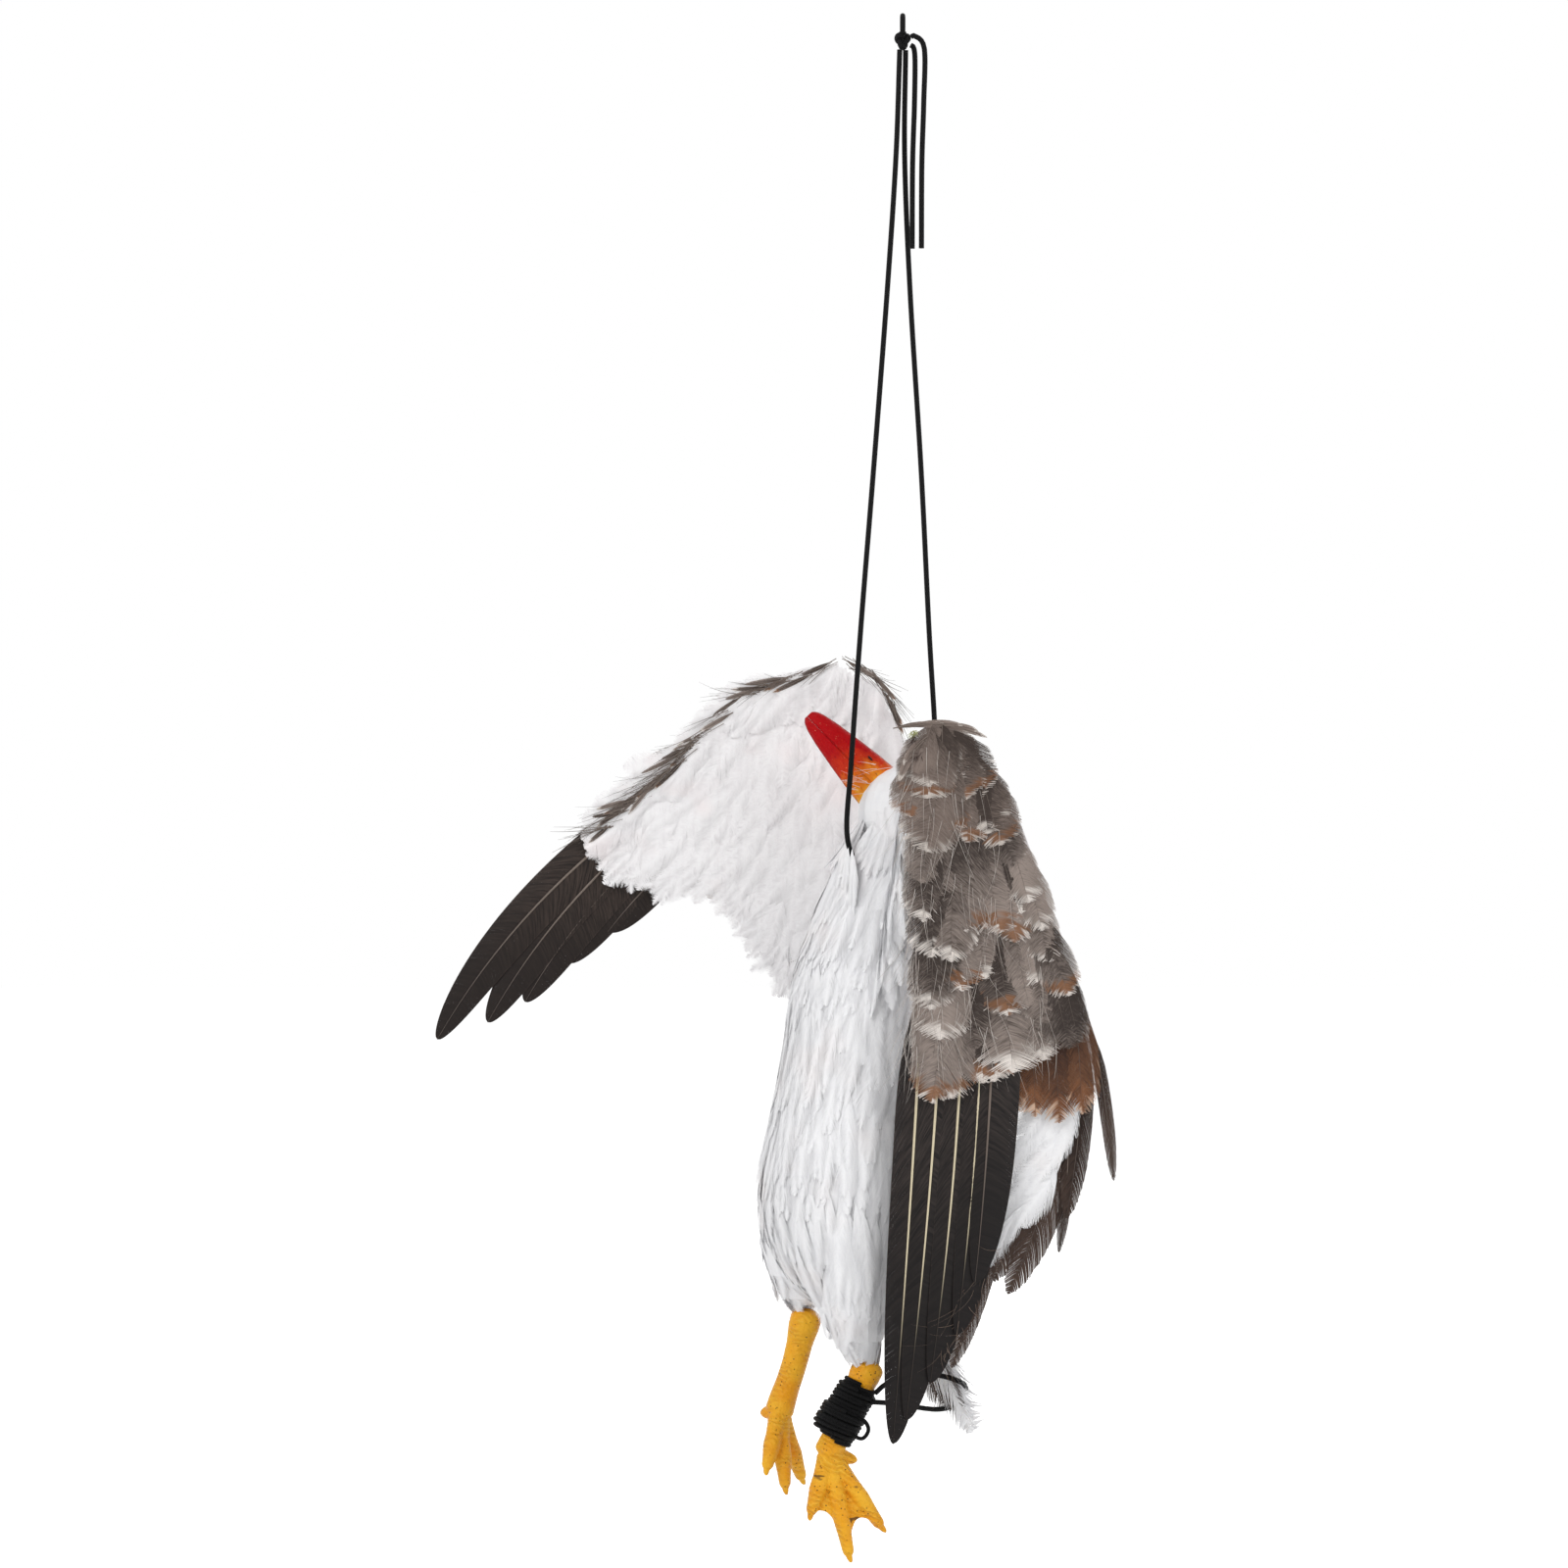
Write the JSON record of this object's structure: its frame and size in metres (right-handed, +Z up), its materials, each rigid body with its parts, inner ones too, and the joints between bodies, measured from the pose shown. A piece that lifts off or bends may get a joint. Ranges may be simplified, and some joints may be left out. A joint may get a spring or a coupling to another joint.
{
  "type": "hanging gull decoy",
  "caption": "Life-size dead gull bird-scarer with real-look feathers, hung head up by a black braided cord looped round its neck.",
  "frame": {"origin": "inner top of the hanging loop, where a hook carries the cord", "axes": "+Z up; the bird's left side faces -Y, its breast faces -X and its back +X"},
  "size_m": [0.311, 0.1186, 0.7213],
  "materials": {
    "cord_black": "matt black braided cord",
    "foam": "white expanded foam",
    "feather_white": "soft white feathers",
    "feather_grey": "grey-brown feathers with pale fringes",
    "feather_brown": "dark brown feathers",
    "feather_dark": "near-black flight feathers with cream shafts",
    "steel_wire": "annealed steel wire",
    "beak_orange": "painted beak, red tip to orange base",
    "leg_yellow": "painted yellow-orange moulding with dark specks",
    "eye_black": "gloss black bead",
    "felt": "stiffened off-white felt"
  },
  "bodies": {
    "hang_cord": {"hang_loop": "cord_black", "loop_knot": "cord_black", "front_strand": "cord_black", "rear_strand": "cord_black", "neck_noose": "cord_black", "cord_tail_inner": "cord_black", "cord_tail_outer": "cord_black"},
    "bird": {"body_core": "foam", "breast_coat": "feather_white", "back_coat": "feather_white", "neck_core": "foam", "neck_wire": "steel_wire", "near_wing_wire": "steel_wire", "far_wing_wire": "steel_wire", "tied_leg_wire": "steel_wire", "free_leg_wire": "steel_wire", "near_thigh": "feather_white", "far_thigh": "feather_white", "tied_leg": "leg_yellow", "leg_wrap": "cord_black", "tie_cord": "cord_black", "tail_block": "foam", "tail_feather_mid": "feather_dark", "tail_feather_near": "feather_dark", "tail_feather_far": "feather_dark"},
    "head": {"head": "feather_white", "upper_mandible": "beak_orange", "lower_mandible": "beak_orange", "near_eye": "eye_black", "far_eye": "eye_black"},
    "near_arm": {"near_root_pad": "felt", "near_arm_board": "felt", "near_wrist_pin": "steel_wire", "near_lining": "feather_white", "near_covert_row_1": "feather_grey", "near_covert_row_2": "feather_grey", "near_covert_row_3": "feather_grey", "near_covert_row_4": "feather_grey", "near_tertials": "feather_brown", "near_white_patch": "feather_white", "near_dark_tertial": "feather_brown"},
    "near_hand": {"near_hand_board": "felt", "near_primary_1": "feather_dark", "near_primary_2": "feather_dark", "near_primary_3": "feather_dark", "near_primary_4": "feather_dark", "near_primary_5": "feather_dark"},
    "far_arm": {"far_root_pad": "felt", "far_arm_board": "felt", "far_wrist_pin": "steel_wire", "far_lining_upper": "feather_white", "far_lining_lower": "feather_white", "far_covert_row_1": "feather_grey", "far_covert_row_2": "feather_grey"},
    "far_hand": {"far_hand_board": "felt", "far_primary_1": "feather_dark", "far_primary_2": "feather_dark", "far_primary_3": "feather_dark", "far_primary_4": "feather_dark"},
    "free_leg": {"free_leg": "leg_yellow"}
  },
  "joints": [
    {"name": "body_rock", "type": "hinge", "parent": "hang_cord", "child": "bird", "pos_m": [-0.006, 0, -0.404], "axis": [0, 1, 0], "range_deg": [-10, 10]},
    {"name": "head_nod", "type": "hinge", "parent": "bird", "child": "head", "pos_m": [0, 0, -0.372], "axis": [0, 1, 0], "range_deg": [-9, 20]},
    {"name": "near_wing_lift", "type": "hinge", "parent": "bird", "child": "near_arm", "pos_m": [0.005, -0.05, -0.345], "axis": [-0.9877, -0.1564, 0], "range_deg": [0, 55]},
    {"name": "near_wing_wrist", "type": "hinge", "parent": "near_arm", "child": "near_hand", "pos_m": [0.0208, -0.0475, -0.379], "axis": [0.1564, -0.9877, 0], "range_deg": [-4, 12]},
    {"name": "far_wing_flap", "type": "hinge", "parent": "bird", "child": "far_arm", "pos_m": [-0.032, 0.0475, -0.4], "axis": [-0.3689, 0, -0.9295], "range_deg": [-6, 45]},
    {"name": "far_wing_wrist", "type": "hinge", "parent": "far_arm", "child": "far_hand", "pos_m": [-0.058, 0.0475, -0.332], "axis": [0, -1, 0], "range_deg": [-8, 20]},
    {"name": "free_leg_swing", "type": "hinge", "parent": "bird", "child": "free_leg", "pos_m": [-0.045, 0.018, -0.611], "axis": [0, 1, 0], "range_deg": [-20, 20]}
  ]
}
